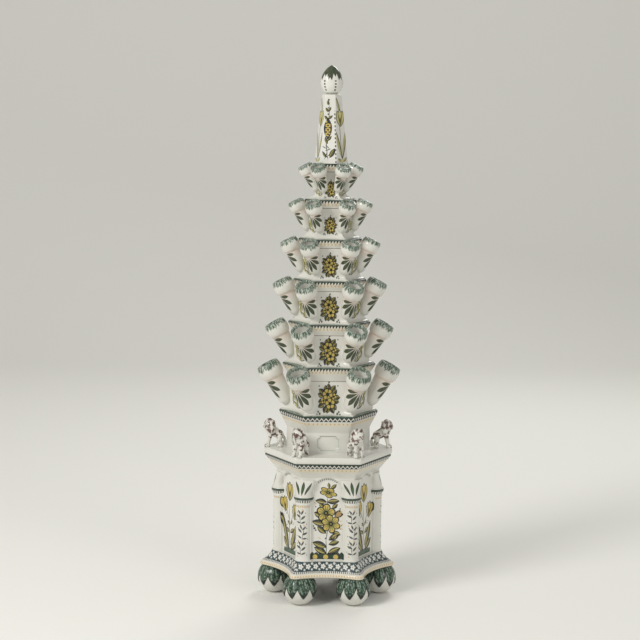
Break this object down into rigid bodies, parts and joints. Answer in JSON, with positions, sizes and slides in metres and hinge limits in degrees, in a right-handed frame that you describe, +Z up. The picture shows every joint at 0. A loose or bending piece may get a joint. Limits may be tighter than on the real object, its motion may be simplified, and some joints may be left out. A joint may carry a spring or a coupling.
{
  "type": "tulipiere",
  "caption": "Hexagonal flower pyramid of stacked glazed tiers with leaning corner spouts, on a columned pedestal with lions and ball feet, topped by an obelisk; stages lift apart.",
  "frame": {"origin": "on the floor under the middle of the stack", "axes": "+Z up, -Y towards the front side, +X through a corner"},
  "size_m": [0.2956, 0.2626, 1.1001],
  "materials": {
    "body_glaze": "gloss",
    "foot_glaze": "gloss",
    "lion_glaze": "gloss"
  },
  "bodies": {
    "pedestal": {"pedestal_body": "body_glaze", "foot_1": "foot_glaze", "foot_2": "foot_glaze", "foot_3": "foot_glaze", "foot_4": "foot_glaze", "foot_5": "foot_glaze", "foot_6": "foot_glaze"},
    "gallery": {"gallery_body": "body_glaze", "lion_1": "lion_glaze", "lion_2": "lion_glaze", "lion_3": "lion_glaze", "lion_4": "lion_glaze", "lion_5": "lion_glaze", "lion_6": "lion_glaze"},
    "tier_1": {"tier_1": "body_glaze", "spout_1_1": "body_glaze", "spout_1_2": "body_glaze", "spout_1_3": "body_glaze", "spout_1_4": "body_glaze", "spout_1_5": "body_glaze", "spout_1_6": "body_glaze"},
    "tier_2": {"tier_2": "body_glaze", "spout_2_1": "body_glaze", "spout_2_2": "body_glaze", "spout_2_3": "body_glaze", "spout_2_4": "body_glaze", "spout_2_5": "body_glaze", "spout_2_6": "body_glaze"},
    "tier_3": {"tier_3": "body_glaze", "spout_3_1": "body_glaze", "spout_3_2": "body_glaze", "spout_3_3": "body_glaze", "spout_3_4": "body_glaze", "spout_3_5": "body_glaze", "spout_3_6": "body_glaze"},
    "tier_4": {"tier_4": "body_glaze", "spout_4_1": "body_glaze", "spout_4_2": "body_glaze", "spout_4_3": "body_glaze", "spout_4_4": "body_glaze", "spout_4_5": "body_glaze", "spout_4_6": "body_glaze"},
    "tier_5": {"tier_5": "body_glaze", "spout_5_1": "body_glaze", "spout_5_2": "body_glaze", "spout_5_3": "body_glaze", "spout_5_4": "body_glaze", "spout_5_5": "body_glaze", "spout_5_6": "body_glaze"},
    "tier_6": {"tier_6": "body_glaze", "spout_6_1": "body_glaze", "spout_6_2": "body_glaze", "spout_6_3": "body_glaze", "spout_6_4": "body_glaze", "spout_6_5": "body_glaze", "spout_6_6": "body_glaze"},
    "obelisk": {"obelisk": "body_glaze", "finial_bud": "body_glaze"}
  },
  "joints": [
    {"name": "gallery_lift", "type": "slide", "parent": "pedestal", "child": "gallery", "axis": [0, 0, 1], "range_m": [0, 0.09]},
    {"name": "tier_1_lift", "type": "slide", "parent": "gallery", "child": "tier_1", "axis": [0, 0, 1], "range_m": [0, 0.09]},
    {"name": "tier_2_lift", "type": "slide", "parent": "tier_1", "child": "tier_2", "axis": [0, 0, 1], "range_m": [0, 0.09]},
    {"name": "tier_3_lift", "type": "slide", "parent": "tier_2", "child": "tier_3", "axis": [0, 0, 1], "range_m": [0, 0.09]},
    {"name": "tier_4_lift", "type": "slide", "parent": "tier_3", "child": "tier_4", "axis": [0, 0, 1], "range_m": [0, 0.09]},
    {"name": "tier_5_lift", "type": "slide", "parent": "tier_4", "child": "tier_5", "axis": [0, 0, 1], "range_m": [0, 0.09]},
    {"name": "tier_6_lift", "type": "slide", "parent": "tier_5", "child": "tier_6", "axis": [0, 0, 1], "range_m": [0, 0.09]},
    {"name": "obelisk_lift", "type": "slide", "parent": "tier_6", "child": "obelisk", "axis": [0, 0, 1], "range_m": [0, 0.09]}
  ]
}
